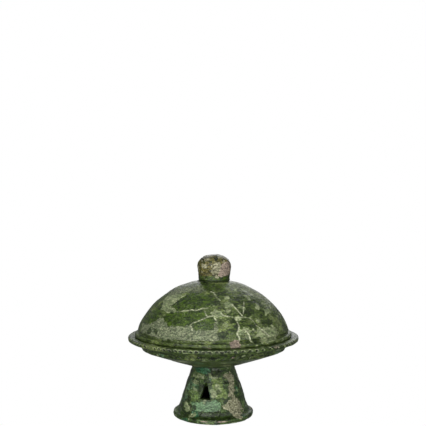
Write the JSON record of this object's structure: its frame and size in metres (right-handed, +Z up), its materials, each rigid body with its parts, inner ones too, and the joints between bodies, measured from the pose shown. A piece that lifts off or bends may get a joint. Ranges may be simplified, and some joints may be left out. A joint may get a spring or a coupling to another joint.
{
  "type": "lidded dish",
  "caption": "Shallow glazed clay bowl with a flat ornamented rim on a hollow windowed foot, covered by a loose domed lid with a solid knob.",
  "frame": {"origin": "middle of the foot ring, on the surface that the dish stands on", "axes": "+Z up along the axis that the dish and lid were turned about, -Y towards the front, +X to the right seen from the front"},
  "size_m": [0.2, 0.1998, 0.1895],
  "materials": {
    "pedestal_glaze": "mottled green lead glaze, glossy, worn to pale clay in places",
    "bowl_glaze": "mottled green lead glaze, glossy",
    "dome_glaze": "mottled olive green lead glaze with pale mended cracks",
    "knob_glaze": "worn olive green lead glaze over pinkish clay"
  },
  "bodies": {
    "dish": {"dish_pedestal": "pedestal_glaze", "dish_bowl": "bowl_glaze"},
    "lid": {"lid_dome": "dome_glaze", "lid_knob": "knob_glaze"}
  },
  "joints": [
    {"name": "lid_lift", "type": "slide", "parent": "dish", "child": "lid", "axis": [0, 0, 1], "range_m": [0, 0.1]}
  ]
}
